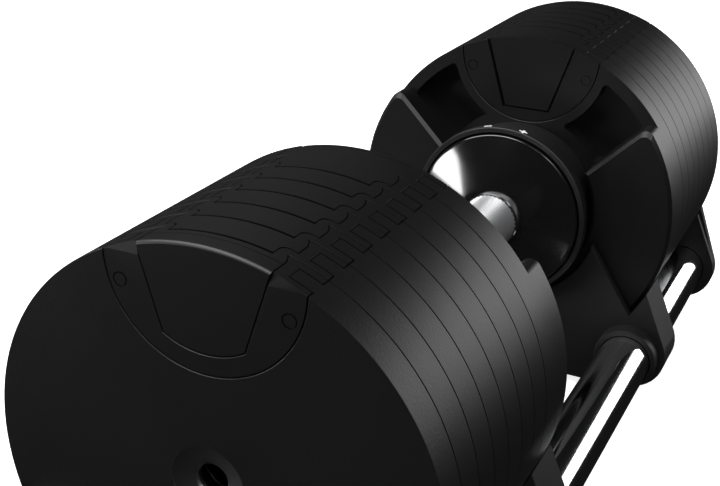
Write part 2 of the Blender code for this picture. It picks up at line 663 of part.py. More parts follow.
def build():
    clear_scene()
    steel = material("powder_coated_steel", (0.012, 0.012, 0.013), 0.48, 0.0)
    moulding = material("moulded_insert", (0.010, 0.010, 0.010), 0.42, 0.0)
    casting = material("coated_casting", (0.013, 0.013, 0.014), 0.45, 0.0)
    gloss = material("gloss_plastic", (0.006, 0.006, 0.006), 0.12, 0.0)
    base = material("cradle_plastic", (0.014, 0.014, 0.015), 0.40, 0.0)
    chrome = material("chromed_tube", (0.86, 0.86, 0.87), 0.08, 1.0)
    bright = material("bright_steel", (0.62, 0.62, 0.63), 0.28, 1.0)
    bronze = material("bushing_bronze", (0.55, 0.38, 0.20), 0.35, 1.0)
    rubber = material("foot_rubber", (0.02, 0.02, 0.02), 0.85, 0.0)

    axis = empty("dumbbell_axis", (0, 0, AXIS_HEIGHT))
    plain_steel, last_steel = plate_steel(False), plate_steel(True)
    inserts = {kind: plate_insert(kind) for kind in ("plain", "second", "outermost")}
    for number in range(1, PLATES + 1):
        x = HEAD_OUTER + (number - 1) * PLATE_PITCH
        from_end = PLATES - number
        kind = ("outermost", "second")[from_end] if from_end < 2 else "plain"
        both_sides(f"plate_{number}_steel", plain_steel if from_end else last_steel, steel, axis, x)
        both_sides(f"plate_{number}_insert", inserts[kind], moulding, axis, x)
    both_sides("end_cover", outer_cover(), moulding, axis, DUMBBELL_HALF - PLATE_PITCH)

    both_sides("inner_head", head_casting(), casting, axis)
    both_sides("head_insert", plate_insert("head"), moulding, axis, HEAD_FACE)
    both_sides("head_cover", head_cover(), moulding, axis, HEAD_FACE)
    piece("hub_housing_right", hub_housing(True), base, axis)
    piece("hub_housing_left", hub_housing(False), base, axis, left=True)
    both_sides("shaft_bushing", bushing(), bronze, axis)
    piece("detent_ball", ball(), bright, axis)
    ball_top = TUBE_OUTER + GAP + 2 * BALL_RADIUS
    coil = BALL_RADIUS - SPRING_INSET
    spring = coil_spring(ball_top + GAP, WELL_TOP - GAP, coil, SPRING_WIRE, 3, DETENT_X)
    piece("detent_spring", spring, bright, axis)

    turning = empty("handle_turn", (0, 0, 0), axis)
    piece("grip", grip(), bright, turning)
    piece("cam_tube", cam_tube(), bright, turning)
    both_sides("bell", bell(), gloss, turning)

    both_sides("selector_shaft", shaft(), bright, axis)
    both_sides("follower_pin", follower(), bright, axis)
    both_sides("lock_slider", lock_slider(), gloss, axis)

    both_sides("saddle", saddle(), base, axis)
    piece("cradle_tube_front", cradle_tube(-TUBE_Y), chrome, axis)
    piece("cradle_tube_back", cradle_tube(TUBE_Y), chrome, axis)
    front_foot, back_foot = foot(-FOOT_Y), foot(FOOT_Y)
    piece("foot_front_right", front_foot, rubber, axis)
    piece("foot_back_right", back_foot, rubber, axis)
    piece("foot_front_left", back_foot, rubber, axis, left=True)
    piece("foot_back_left", front_foot, rubber, axis, left=True)


build()
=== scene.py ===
# Looks of the adjustable dumbbell in its cradle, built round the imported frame.
# Every fine piece is modelled outwards along +X from its own inner face, in metres, then put on both sides:
# the left one is the same mesh turned half a turn about Z.

from math import atan2, ceil, cos, degrees, pi, radians, sin, sqrt

import bmesh
import bpy
from mathutils import Matrix, Vector


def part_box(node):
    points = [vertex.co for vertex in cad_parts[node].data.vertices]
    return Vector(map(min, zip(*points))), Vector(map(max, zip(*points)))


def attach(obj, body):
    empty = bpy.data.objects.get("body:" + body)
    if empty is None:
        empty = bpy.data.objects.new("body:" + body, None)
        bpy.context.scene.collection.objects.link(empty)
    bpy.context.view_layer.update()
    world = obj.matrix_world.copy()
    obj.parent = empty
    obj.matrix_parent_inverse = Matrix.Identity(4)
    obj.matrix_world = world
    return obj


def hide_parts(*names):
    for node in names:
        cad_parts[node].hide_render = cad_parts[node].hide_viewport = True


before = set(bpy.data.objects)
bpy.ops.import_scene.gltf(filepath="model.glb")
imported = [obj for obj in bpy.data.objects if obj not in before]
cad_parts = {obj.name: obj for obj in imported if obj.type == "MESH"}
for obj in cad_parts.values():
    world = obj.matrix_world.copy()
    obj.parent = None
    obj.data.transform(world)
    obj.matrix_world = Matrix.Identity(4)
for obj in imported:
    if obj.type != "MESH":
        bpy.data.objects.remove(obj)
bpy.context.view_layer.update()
mm = 0.001
sides = {"right": 1, "left": -1}


# Places that come from the frame

def low(node):
    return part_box(node)[0]


def high(node):
    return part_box(node)[1]


axisHeight = (low("grip").z + high("grip").z) / 2
pitch = low("plate_2_steel_right").x - low("plate_1_steel_right").x
plateThick = high("plate_1_steel_right").x - low("plate_1_steel_right").x
headFront = low("inner_head_right").x
headFace = low("head_insert_right").x
headBack = high("inner_head_right").x
firstPlate = low("plate_1_steel_right").x
plateCount = sum(name.startswith("plate_") and name.endswith("_steel_right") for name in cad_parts)
tubeY = (low("cradle_tube_back").y + high("cradle_tube_back").y) / 2
tubeZ = (low("cradle_tube_back").z + high("cradle_tube_back").z) / 2 - axisHeight
print(f"frame: {plateCount} plates a side, pitch {pitch / mm:.1f} mm, axis {axisHeight / mm:.1f} mm up")


# Colours and nodes

def hexToLinear(code):
    channels = [int(code[i:i + 2], 16) / 255 for i in (1, 3, 5)]
    return (*[c / 12.92 if c <= 0.04045 else ((c + 0.055) / 1.055) ** 2.4 for c in channels], 1.0)


def addNode(tree, kind, values=None, links=None, **settings):
    node = tree.nodes.new(kind)
    for name, value in settings.items():
        setattr(node, name, value)
    for socket, value in (values or {}).items():
        node.inputs[socket].default_value = value
    for socket, source in (links or {}).items():
        tree.links.new(source, node.inputs[socket])
    return node


def newMaterial(name):
    material = bpy.data.materials.new(name)
    material.use_nodes = True
    tree = material.node_tree
    return material, tree, tree.nodes["Principled BSDF"]


powderCoat = {
    "colour": "#060607", "paler": "#0b0b0c",
    "smoothest": 0.36, "roughest": 0.47, "patch": 45 * mm,
    "grain": 0.8 * mm,  # real flakes are nearer 0.1 mm, drawn coarser so that they show
    "grainHeight": 0.07 * mm,
    "orangePeel": 2.6 * mm, "peelHeight": 0.02 * mm,
}


def powderCoatedSteel():
    # Epoxy powder baked on steel. The eye sees a satin black with a tight grain that sparkles where light
    # grazes it, a little paler on each grain, and patches that shine more than others
    material, tree, shader = newMaterial("powderCoatedSteel")
    spot = addNode(tree, "ShaderNodeTexCoord").outputs["Object"]
    grain = addNode(
        tree, "ShaderNodeTexNoise",
        {"Scale": 1 / powderCoat["grain"], "Detail": 2.0, "Roughness": 0.6}, {"Vector": spot},
    )
    peel = addNode(
        tree, "ShaderNodeTexNoise", {"Scale": 1 / powderCoat["orangePeel"], "Detail": 1.0}, {"Vector": spot}
    )
    patches = addNode(
        tree, "ShaderNodeTexNoise", {"Scale": 1 / powderCoat["patch"], "Detail": 3.0}, {"Vector": spot}
    )
    tint = addNode(
        tree, "ShaderNodeMix",
        {"A": hexToLinear(powderCoat["colour"]), "B": hexToLinear(powderCoat["paler"])},
        {"Factor": grain.outputs["Fac"]}, data_type="RGBA",
    )
    satin = addNode(
        tree, "ShaderNodeMapRange",
        {"To Min": powderCoat["smoothest"], "To Max": powderCoat["roughest"]},
        {"Value": patches.outputs["Fac"]},
    )
    broad = addNode(
        tree, "ShaderNodeBump", {"Strength": 0.5, "Distance": powderCoat["peelHeight"]},
        {"Height": peel.outputs["Fac"]},
    )
    fine = addNode(
        tree, "ShaderNodeBump", {"Strength": 1.0, "Distance": powderCoat["grainHeight"]},
        {"Height": grain.outputs["Fac"], "Normal": broad.outputs["Normal"]},
    )
    tree.links.new(tint.outputs["Result"], shader.inputs["Base Color"])
    tree.links.new(satin.outputs["Result"], shader.inputs["Roughness"])
    tree.links.new(fine.outputs["Normal"], shader.inputs["Normal"])
    return material


mouldings = {
    # A close satin black: the plates' inserts and covers
    "mouldedNylonInsert": {
        "colour": "#070707", "smoothest": 0.38, "roughest": 0.46, "grain": 0.5 * mm, "depth": 0.010 * mm,
    },
    # Duller, with the glass fibres just under the skin: the saddles and the rings behind the bells
    "glassFilledNylon": {
        "colour": "#090909", "smoothest": 0.46, "roughest": 0.58, "grain": 0.8 * mm, "depth": 0.014 * mm,
    },
    # Dusty charcoal with no shine at all: the strips underneath
    "rubberMoulding": {
        "colour": "#161616", "smoothest": 0.72, "roughest": 0.85, "grain": 1.1 * mm, "depth": 0.05 * mm,
    },
}
mouldFlow = 30 * mm  # how far apart the dull and shiny places of a moulding lie


def moulded(name):
    # Pressed into a spark-eroded mould. The eye sees an even satin with a fine pimpled texture and no sparkle
    look = mouldings[name]
    material, tree, shader = newMaterial(name)
    spot = addNode(tree, "ShaderNodeTexCoord").outputs["Object"]
    texture = addNode(
        tree, "ShaderNodeTexNoise",
        {"Scale": 1 / look["grain"], "Detail": 3.0, "Roughness": 0.65}, {"Vector": spot},
    )
    flow = addNode(tree, "ShaderNodeTexNoise", {"Scale": 1 / mouldFlow, "Detail": 2.0}, {"Vector": spot})
    satin = addNode(
        tree, "ShaderNodeMapRange", {"To Min": look["smoothest"], "To Max": look["roughest"]},
        {"Value": flow.outputs["Fac"]},
    )
    bump = addNode(
        tree, "ShaderNodeBump", {"Strength": 1.0, "Distance": look["depth"]},
        {"Height": texture.outputs["Fac"]},
    )
    shader.inputs["Base Color"].default_value = hexToLinear(look["colour"])
    tree.links.new(satin.outputs["Result"], shader.inputs["Roughness"])
    tree.links.new(bump.outputs["Normal"], shader.inputs["Normal"])
    return material


lacquer = {
    "colour": "#0d0d0e", "smoothest": 0.10, "roughest": 0.22, "clearCoat": 1.0, "coatRoughness": 0.10,
    "haze": 18 * mm,
}


def lacqueredBell():
    # Gloss black lacquer over a turned part. The eye sees sharp reflections with the faintest polishing haze
    material, tree, shader = newMaterial("lacqueredBell")
    spot = addNode(tree, "ShaderNodeTexCoord").outputs["Object"]
    haze = addNode(
        tree, "ShaderNodeTexNoise", {"Scale": 1 / lacquer["haze"], "Detail": 4.0}, {"Vector": spot}
    )
    polish = addNode(
        tree, "ShaderNodeMapRange", {"To Min": lacquer["smoothest"], "To Max": lacquer["roughest"]},
        {"Value": haze.outputs["Fac"]},
    )
    shader.inputs["Base Color"].default_value = hexToLinear(lacquer["colour"])
    shader.inputs["Coat Weight"].default_value = lacquer["clearCoat"]
    shader.inputs["Coat Roughness"].default_value = lacquer["coatRoughness"]
    tree.links.new(polish.outputs["Result"], shader.inputs["Roughness"])
    return material


metals = {
    # along and around are the size of the marks along X and across it
    # Bright chrome over a drawn tube: a mirror with hair-thin lines along it
    "chromePlatedTube": {
        "colour": "#e2e3e6", "smoothest": 0.05, "roughest": 0.12,
        "along": 60.0 * mm, "around": 1.5 * mm, "depth": 0.0006 * mm,
    },
    # Chrome over cut diamonds, worn soft by hands: pale and frosted
    "chromedKnurl": {
        "colour": "#f0f0f2", "smoothest": 0.34, "roughest": 0.46,
        "along": 2.0 * mm, "around": 2.0 * mm, "depth": 0.006 * mm,
    },
    # Steel straight off the lathe: grey, with fine rings round it
    "turnedSteel": {
        "colour": "#a9a9ac", "smoothest": 0.26, "roughest": 0.40,
        "along": 0.5 * mm, "around": 30.0 * mm, "depth": 0.010 * mm,
    },
    # Steel ground round for sliding: brighter and smoother than turned
    "groundSteel": {
        "colour": "#b9babd", "smoothest": 0.18, "roughest": 0.30,
        "along": 0.4 * mm, "around": 20.0 * mm, "depth": 0.004 * mm,
    },
    # Bronze powder pressed and baked: brown yellow, dull and finely pitted
    "sinteredBronze": {
        "colour": "#a8814b", "smoothest": 0.35, "roughest": 0.50,
        "along": 0.6 * mm, "around": 0.6 * mm, "depth": 0.020 * mm,
    },
}


def metal(name):
    # Bare or plated metal. The eye sees its tool's marks, along a drawn tube and round a turned part
    look = metals[name]
    material, tree, shader = newMaterial(name)
    spot = addNode(tree, "ShaderNodeTexCoord").outputs["Object"]
    stretched = addNode(
        tree, "ShaderNodeMapping", {"Scale": (1 / look["along"], 1 / look["around"], 1 / look["around"])},
        {"Vector": spot},
    )
    marks = addNode(
        tree, "ShaderNodeTexNoise", {"Scale": 1.0, "Detail": 3.0, "Roughness": 0.6},
        {"Vector": stretched.outputs["Vector"]},
    )
    polish = addNode(
        tree, "ShaderNodeMapRange", {"To Min": look["smoothest"], "To Max": look["roughest"]},
        {"Value": marks.outputs["Fac"]},
    )
    bump = addNode(
        tree, "ShaderNodeBump", {"Strength": 1.0, "Distance": look["depth"]}, {"Height": marks.outputs["Fac"]}
    )
    shader.inputs["Base Color"].default_value = hexToLinear(look["colour"])
    shader.inputs["Metallic"].default_value = 1.0
    tree.links.new(polish.outputs["Result"], shader.inputs["Roughness"])
    tree.links.new(bump.outputs["Normal"], shader.inputs["Normal"])
    return material


printing = {"colour": "#efefed", "smoothest": 0.45, "roughest": 0.6, "speckle": 0.4 * mm}


def padPrintInk():
    # White ink stamped on with a soft pad. The eye sees a flat off-white, a little chalky
    material, tree, shader = newMaterial("padPrintInk")
    spot = addNode(tree, "ShaderNodeTexCoord").outputs["Object"]
    speckle = addNode(tree, "ShaderNodeTexNoise", {"Scale": 1 / printing["speckle"]}, {"Vector": spot})
    chalk = addNode(
        tree, "ShaderNodeMapRange", {"To Min": printing["smoothest"], "To Max": printing["roughest"]},
        {"Value": speckle.outputs["Fac"]},
    )
    shader.inputs["Base Color"].default_value = hexToLinear(printing["colour"])
    tree.links.new(chalk.outputs["Result"], shader.inputs["Roughness"])
    return material


finishes = {
    "powderCoat": powderCoatedSteel(),
    "insert": moulded("mouldedNylonInsert"),
    "nylon": moulded("glassFilledNylon"),
    "rubber": moulded("rubberMoulding"),
    "lacquer": lacqueredBell(),
    "chrome": metal("chromePlatedTube"),
    "knurl": metal("chromedKnurl"),
    "turned": metal("turnedSteel"),
    "ground": metal("groundSteel"),
    "bronze": metal("sinteredBronze"),
    "ink": padPrintInk(),
}
print("materials:", len(finishes))


# Outlines are lists of (y, z); heights are measured from the dumbbell's axis

def circle(radius, count, y=0.0, z=0.0):
    step = 2 * pi / count
    return [(y + radius * cos((i + 0.5) * step), z + radius * sin((i + 0.5) * step)) for i in range(count)]


def arc(radius, start, end, count, y=0.0, z=0.0):
    angles = [radians(start + (end - start) * i / count) for i in range(count + 1)]
    return [(y + radius * cos(a), z + radius * sin(a)) for a in angles]


def mirrored(outline):
    return [(-y, z) for y, z in reversed(outline)]


def block(left, right, bottom, top):
    return [(right, bottom), (right, top), (left, top), (left, bottom)]


def closeMesh(shape, name):
    bmesh.ops.recalc_face_normals(shape, faces=shape.faces)
    mesh = bpy.data.meshes.new(name)
    shape.to_mesh(mesh)
    shape.free()
    return mesh


def loft(name, sections):
    # A closed solid through outlines of equal length, each (x, outline)
    shape = bmesh.new()
    loops = [[shape.verts.new((x, y, z)) for y, z in outline] for x, outline in sections]
    for below, above in zip(loops, loops[1:]):
        for i in range(len(below)):
            j = (i + 1) % len(below)
            shape.faces.new((below[i], below[j], above[j], above[i]))
    shape.faces.new(loops[0])
    shape.faces.new(loops[-1])
    return closeMesh(shape, name)


def prism(name, start, end, outline):
    return loft(name, [(start, outline), (end, outline)])


def lathe(name, profile, count):
    # A ring turned about X from a closed profile of (x, radius)
    shape = bmesh.new()
    step = 2 * pi / count
    loops = [
        [shape.verts.new((x, r * cos((i + 0.5) * step), r * sin((i + 0.5) * step))) for i in range(count)]
        for x, r in profile
    ]
    for first, second in zip(loops, loops[1:] + loops[:1]):
        for i in range(count):
            j = (i + 1) % count
            shape.faces.new((first[i], first[j], second[j], second[i]))
    return closeMesh(shape, name)


def edged(start, end, outlineAt, edge):
    # Sections of a solid whose two ends have a broken edge; outlineAt(grow) is its outline moved outwards
    return [
        (start, outlineAt(-edge)),
        (start + 0.3 * edge, outlineAt(-0.3 * edge)),
        (start + edge, outlineAt(0.0)),
        (end - edge, outlineAt(0.0)),
        (end - 0.3 * edge, outlineAt(-0.3 * edge)),
        (end, outlineAt(-edge)),
    ]


def flared(start, end, outlineAt, edge):
    # Sections of a cutter that breaks the edges of the hole it makes between start and end
    over = 1 * mm
    return [
        (start - over, outlineAt(edge + over)),
        (start + edge, outlineAt(0.0)),
        (end - edge, outlineAt(0.0)),
        (end + over, outlineAt(edge + over)),
    ]


def carved(base, *steps):
    # base after each (operation, mesh), with the exact Boolean
    target = bpy.data.objects.new("working", base)
    bpy.context.scene.collection.objects.link(target)
    helpers = []
    for operation, mesh in steps:
        helper = bpy.data.objects.new("cutter", mesh)
        bpy.context.scene.collection.objects.link(helper)
        helpers.append(helper)
        modifier = target.modifiers.new(operation, "BOOLEAN")
        modifier.operation = operation
        modifier.solver = "EXACT"
        modifier.object = helper
    graph = bpy.context.evaluated_depsgraph_get()
    result = bpy.data.meshes.new_from_object(target.evaluated_get(graph))
    for thing in [target, *helpers]:
        bpy.data.objects.remove(thing, do_unlink=True)
    return result


def softened(mesh, sharpest=25):
    mesh.shade_smooth()
    mesh.set_sharp_from_angle(angle=radians(sharpest))
    return mesh


def place(name, mesh, finish, body, x=0.0, side="right", replaces=()):
    # Puts a piece on the dumbbell's axis, x outwards from the middle
    piece = bpy.data.objects.new(name, mesh)
    if not mesh.materials:
        mesh.materials.append(finishes[finish])
    piece.location = (x * sides[side], 0, axisHeight)
    piece.rotation_euler.z = 0.0 if side == "right" else pi
    if finish != "knurl":
        weighted = piece.modifiers.new("evenNormals", "WEIGHTED_NORMAL")
        weighted.keep_sharp = True
    bpy.context.scene.collection.objects.link(piece)
    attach(piece, body)
    if replaces:
        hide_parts(*replaces)
    return piece


# The plates: a steel disc round a slotted moulding

plateSizes = {
    "radius": 86.0 * mm,
    "edge": 0.28 * mm,
    "insertRadius": 37.4 * mm, "insertDrop": 7.4 * mm,  # its centre below the rim
    "webRadius": 29.7 * mm, "webDrop": 10.8 * mm,
    "flange": 3.8 * mm,
    "seam": 0.5 * mm, "seamEdge": 0.15 * mm,
    "bore": 10.2 * mm, "boreEdge": 0.5 * mm,
    "roundCount": 160, "fineCount": 96,
}
slotSizes = {
    "halfWidth": 23.7 * mm,  # at the height of the insert's centre
    "taper": 0.32,
    "floorRadius": 30.1 * mm,
    "undercut": 1.7 * mm, "undercutDepth": 5.4 * mm,
    "hookSteps": (0.03, 0.08, 0.16, 0.28, 0.45, 0.7, 1.0), "hookPower": 0.55,
    "bridge": 3.6 * mm,  # joins the ears to the tongue
    "noseInset": 5.7 * mm, "noseLength": 6.8 * mm, "noseRound": 3.04 * mm, "noseTurns": 6,
    "sideGap": 0.45 * mm, "tipGap": 0.65 * mm,
    "coverBack": 5.9 * mm, "coverGap": 0.3 * mm,
}
outerFace = {
    "dishRadius": 14.2 * mm, "dishDepth": 2.8 * mm, "holeRadius": 5.8 * mm, "boreDepth": 8.2 * mm,
    "holeLip": 0.8 * mm, "dishLip": 0.3 * mm, "dishSlope": 0.2 * mm,
    "facetHeight": 0.905, "facetSlope": 0.30,  # the ears' facets start at this share of the radius
    "coverScoop": 1.4 * mm,
}
rivets = {"y": 31.0 * mm, "z": 68.0 * mm, "radius": 2.2 * mm, "groove": 0.5 * mm, "depth": 0.5 * mm}

rimRadius = plateSizes["radius"]
insertZ = rimRadius - plateSizes["insertDrop"]
webZ = rimRadius - plateSizes["webDrop"]
pocketDepth = pitch - slotSizes["bridge"]


def rim(grow):
    return circle(rimRadius + grow, plateSizes["roundCount"])


def boreAt(grow):
    return circle(plateSizes["bore"] + grow, plateSizes["fineCount"])


def slotOutline(inset, floorRadius=None, floorCount=14):
    # The tapered slot, open at the top, moved inwards by inset; its floor is an arc about the insert's centre
    half = slotSizes["halfWidth"] - inset * sqrt(1 + slotSizes["taper"] ** 2)
    base = (floorRadius or slotSizes["floorRadius"]) - inset
    square = 1 + slotSizes["taper"] ** 2
    lean = slotSizes["taper"] * half
    corner = (-lean - sqrt(lean**2 - square * (half**2 - base**2))) / square
    spread = atan2(half + slotSizes["taper"] * corner, -corner)
    turns = [spread * (1 - 2 * i / floorCount) for i in range(floorCount + 1)]
    top = plateSizes["insertDrop"] + 12 * mm  # clear above the rim
    width = half + slotSizes["taper"] * top
    bottom = [(base * sin(t), insertZ - base * cos(t)) for t in turns]
    return [(width, insertZ + top), *bottom, (-width, insertZ + top)]


def dovetail(start, root, gap, shoulder):
    # The hook behind a tongue's shoulder: narrow at its root, swelling out to full width
    undercut = slotSizes["undercut"]
    swelling = []
    for t in slotSizes["hookSteps"]:
        share = 0.5 + 0.5 * cos(pi * t ** slotSizes["hookPower"])
        swelling.append((root + slotSizes["undercutDepth"] * t, slotOutline(gap + undercut * share)))
    narrow = slotOutline(undercut + gap)
    return [(start, narrow), (root, narrow), *swelling, (shoulder, slotOutline(gap))]


def nose(shoulder, gap, length):
    # The tongue's narrower tip, with a round fillet where it leaves the shoulder
    inset, bend, count = slotSizes["noseInset"] + gap, slotSizes["noseRound"], slotSizes["noseTurns"]
    curve = [
        (shoulder + bend * (1 - cos(a)), slotOutline(inset - bend * (1 - sin(a))))
        for a in [pi / 2 * i / count for i in range(count + 1)]
    ]
    return [*curve, (shoulder + length, slotOutline(inset))]


def steppedHole(grow, start, end, edge):
    # The insert's seat: wide behind both faces and narrower round the web between them
    count = plateSizes["fineCount"]
    wide = circle(plateSizes["insertRadius"] + grow, count, z=insertZ)
    webbed = circle(plateSizes["webRadius"] + grow, count, z=webZ)
    opened = circle(plateSizes["insertRadius"] + grow + edge, count, z=insertZ)
    flange = plateSizes["flange"] + grow
    depth = abs(edge)
    return [
        (start, opened), (start + depth, wide), (flange, wide), (flange, webbed),
        (pitch - flange, webbed), (pitch - flange, wide), (end - depth, wide), (end, opened),
    ]


def steelDisc(outermost):
    disc = loft("steelDisc", edged(0.0, plateThick, rim, plateSizes["edge"]))
    edge = plateSizes["seamEdge"]
    opening = loft("opening", steppedHole(0.0, -edge, plateThick + edge, 2 * edge))
    if not outermost:
        through = loft("bore", flared(0.0, plateThick, boreAt, plateSizes["boreEdge"]))
        return softened(carved(disc, ("DIFFERENCE", opening), ("DIFFERENCE", through)))

    def hole(grow):
        return circle(outerFace["holeRadius"] + grow, plateSizes["fineCount"])

    def dish(grow):
        return circle(outerFace["dishRadius"] + grow, plateSizes["fineCount"])

    bottom = plateThick - outerFace["dishDepth"]
    lip = outerFace["holeLip"]
    blind = loft("bore", [
        (-mm, boreAt(0.0)), (outerFace["boreDepth"], boreAt(0.0)), (outerFace["boreDepth"], hole(0.0)),
        (bottom - lip, hole(0.0)), (bottom, hole(lip)),
        (plateThick - outerFace["dishLip"], dish(-outerFace["dishSlope"])), (plateThick + mm, dish(mm)),
    ])
    mesh = carved(disc, ("DIFFERENCE", opening), ("DIFFERENCE", blind))
    mesh.materials.append(finishes["powderCoat"])
    mesh.materials.append(finishes["turned"])
    dishReach = outerFace["dishRadius"] + 0.1 * mm
    for face in mesh.polygons:
        corners = [mesh.vertices[v].co for v in face.vertices]
        reach = max(sqrt(corner.y**2 + corner.z**2) for corner in corners)
        if reach < dishReach and min(corner.x for corner in corners) > outerFace["boreDepth"]:
            face.material_index = 1
    return softened(mesh)


def rivetGrooves(faceX, outwards):
    # Two shallow rings, one round each rivet head
    cutters = []
    inner, outer = rivets["radius"], rivets["radius"] + rivets["groove"]
    floorX, overX = faceX - outwards * rivets["depth"], faceX + outwards * mm
    for y in (rivets["y"], -rivets["y"]):
        ring = lathe("groove", [(floorX, inner), (overX, inner), (overX, outer), (floorX, outer)], 32)
        ring.transform(Matrix.Translation((0, y, rivets["z"])))
        cutters.append(("DIFFERENCE", ring))
    return cutters


def tongueSolid(kind):
    # Hooks into the next plate's slot; the second plate's is cut short by the end cover
    side, start = slotSizes["sideGap"], pitch - slotSizes["bridge"] / 2
    if kind == "second":
        sections = dovetail(start, pitch, side, pitch + slotSizes["coverBack"] - slotSizes["coverGap"])
    else:
        shoulder = pitch + pocketDepth - plateSizes["seam"]
        tip = nose(shoulder, side, slotSizes["noseLength"] - slotSizes["tipGap"])
        sections = dovetail(start, pitch, side, shoulder) + tip
    justInside = prism("rimSolid", 0.0, 3 * pitch, rim(-0.02 * mm))
    return carved(loft("tongue", sections), ("INTERSECT", justInside))


def slotCutter(kind):
    # What the next tongue slides into; the head's is a shallow flat one for its cover
    edge = plateSizes["seamEdge"]
    if kind == "outermost":
        throughFace = (plateThick + mm, slotOutline(-edge - mm))
        return loft("slot", [*dovetail(-mm, 0.0, 0.0, plateThick - edge), throughFace])
    if kind == "head":
        narrow, floorRadius = slotSizes["undercut"], headSizes["coverFloor"]
        return loft("slot", [
            (-mm, slotOutline(narrow - mm, floorRadius, 1)),
            (headSizes["coverDepth"], slotOutline(narrow, floorRadius, 1)),
        ])
    tip = nose(pocketDepth, 0.0, slotSizes["noseLength"])
    return loft("slot", dovetail(-mm, 0.0, 0.0, pocketDepth) + tip)


def earFacets():
    # A wedge that slopes the outermost ears away from the face
    reach, top = 60 * mm, rimRadius * 1.2
    rise = outerFace["facetHeight"] * rimRadius
    sections = []
    for offset in (-2 * mm, mm):
        bottom = rise - offset / outerFace["facetSlope"]
        sections.append((plateThick + offset, block(-reach, reach, bottom, top)))
    return loft("facet", sections)


def insertMoulding(kind):
    # kind is plain, second, outermost or head: what its slot opens into and how far its tongue reaches
    body = loft("insertBody", steppedHole(-plateSizes["seam"], 0.0, plateThick, -plateSizes["seamEdge"]))
    steps = [("INTERSECT", loft("rimSolid", edged(0.0, plateThick, rim, plateSizes["edge"])))]
    if kind != "outermost":
        steps.append(("UNION", tongueSolid(kind)))
    steps.append(("DIFFERENCE", slotCutter(kind)))
    if kind == "outermost":
        steps.append(("DIFFERENCE", earFacets()))
    steps += rivetGrooves(0.0, -1) + rivetGrooves(plateThick, 1)
    return softened(carved(body, *steps))


def endCover():
    # Fills the outermost slot; its top edge is scooped softly into the face
    def inset(grow):
        return slotOutline(plateSizes["seam"] - grow)

    sections = edged(slotSizes["coverBack"], plateThick, inset, plateSizes["seamEdge"])
    scoop = outerFace["coverScoop"]
    turns = [radians(a) for a in (0, 12, 24, 36, 48, 60, 70)]
    shoulder = [(plateThick - scoop * (1 - sin(a)), rim(-scoop * (1 - cos(a)))) for a in turns]
    top = (plateThick + mm, rim(-scoop * (1 - cos(turns[-1])) - 3 * mm))
    solid = loft("rimSolid", [(0.0, rim(0.0)), *shoulder, top])
    return softened(carved(loft("endCover", sections), ("INTERSECT", solid)))


# The inner head: the eighth disc and its lower step

headSizes = {
    "hubRecess": 44.7 * mm,
    "notchDrop": 16.3 * mm,  # the two shoulders would meet this far below the axis
    "shoulderRound": 4.0 * mm, "shoulderEdge": 1.7 * mm,
    "pocketOuter": 79.5 * mm, "pocketInner": 46.6 * mm, "pocketDepth": 11.0 * mm, "pocketRound": 3.0 * mm,
    "pocketRaise": 0.3 * mm,
    "bossWall": 4.6 * mm,
    "coverFloor": 34.5 * mm, "coverDepth": 3.0 * mm,
    "bore": 12.3 * mm, "boreEdge": 0.5 * mm,
    "lockPlay": 0.3 * mm,
}


def lowerStep(grow):
    # Half of the C-shaped step, from the rim's lowest point round to the hub recess, and its mirror image
    drop = headSizes["notchDrop"] - grow * sqrt(2)
    fillet = headSizes["shoulderRound"]
    reach = drop + fillet * sqrt(2)
    centreRadius = rimRadius + grow - fillet
    centreY = (reach + sqrt(2 * centreRadius**2 - reach**2)) / 2
    centreZ = centreY - reach
    recess = headSizes["hubRecess"] - grow
    cornerY = (drop + sqrt(2 * recess**2 - drop**2)) / 2
    rimEnd = degrees(atan2(centreZ, centreY))
    half = arc(rimRadius + grow, -90, rimEnd, 60)[:-1]
    half += arc(fillet, rimEnd, 135, 8, centreY, centreZ)
    half += arc(recess, degrees(atan2(cornerY - drop, cornerY)), -90, 40)
    return half + mirrored(half[1:-1])


def headPocket():
    # Between two arcs about the axis, the wall round the insert and the shoulder, with rounded corners
    boss = plateSizes["insertRadius"] + headSizes["bossWall"]
    outer, inner = headSizes["pocketOuter"], headSizes["pocketInner"]
    drop = headSizes["notchDrop"] - headSizes["pocketRaise"]

    def onBoss(radius):
        z = (radius**2 - boss**2 + insertZ**2) / (2 * insertZ)
        return sqrt(radius**2 - z**2), z

    def onShoulder(radius):
        y = (drop + sqrt(2 * radius**2 - drop**2)) / 2
        return y, y - drop

    def turnOf(point, z=0.0):
        return degrees(atan2(point[1] - z, point[0]))

    top, bottom = onBoss(outer), onBoss(inner)
    outline = arc(outer, turnOf(onShoulder(outer)), turnOf(top), 6)
    outline += arc(boss, turnOf(top, insertZ), turnOf(bottom, insertZ), 10, z=insertZ)[1:]
    outline += arc(inner, turnOf(bottom), turnOf(onShoulder(inner)), 5)[1:]
    mesh = prism("pocket", headFace - mm, headFace + headSizes["pocketDepth"], outline)
    shape = bmesh.new()
    shape.from_mesh(mesh)
    corners = [
        e for e in shape.edges
        if abs(e.verts[0].co.x - e.verts[1].co.x) > mm and e.calc_face_angle(0) > radians(35)
    ]
    bmesh.ops.bevel(
        shape, geom=corners, offset=headSizes["pocketRound"], segments=6, profile=0.5, affect="EDGES",
        clamp_overlap=True,
    )
    return closeMesh(shape, "pocket")


